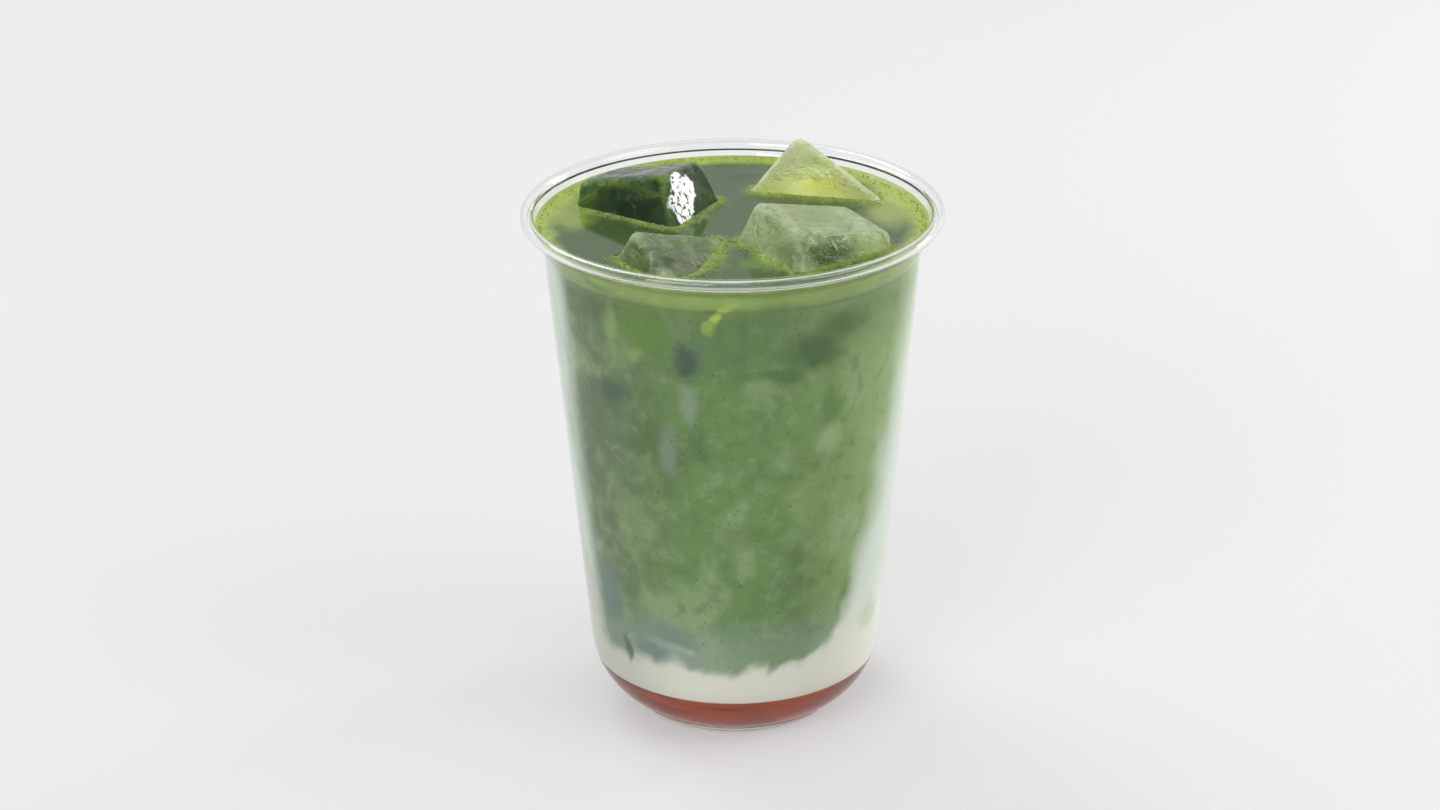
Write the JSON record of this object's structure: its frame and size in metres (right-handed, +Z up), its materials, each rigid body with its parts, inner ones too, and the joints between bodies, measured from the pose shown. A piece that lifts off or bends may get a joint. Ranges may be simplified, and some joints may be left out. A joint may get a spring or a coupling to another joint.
{
  "type": "iced matcha latte in a clear cup",
  "caption": "Iced matcha latte in a clear U-shaped takeaway cup with a rolled rim: syrup at the bottom, milk, green matcha and ice blocks at the surface.",
  "frame": {"origin": "centre of the cup's base, on the surface it stands on", "axes": "+Z up along the cup's axis, -Y towards the front, +X to the right seen from the front"},
  "size_m": [0.098, 0.098, 0.1318],
  "materials": {
    "clear_cup": "clear glossy PET sheet",
    "syrup": "clear amber-red syrup",
    "milk": "off-white milk",
    "matcha": "cloudy green matcha drink",
    "ice": "clear wet ice"
  },
  "bodies": {
    "root": {"cup": "clear_cup", "syrup": "syrup", "milk": "milk", "matcha": "matcha", "ice_back_left": "ice", "ice_back_right": "ice", "ice_front_left": "ice", "ice_front_right": "ice"}
  },
  "joints": []
}
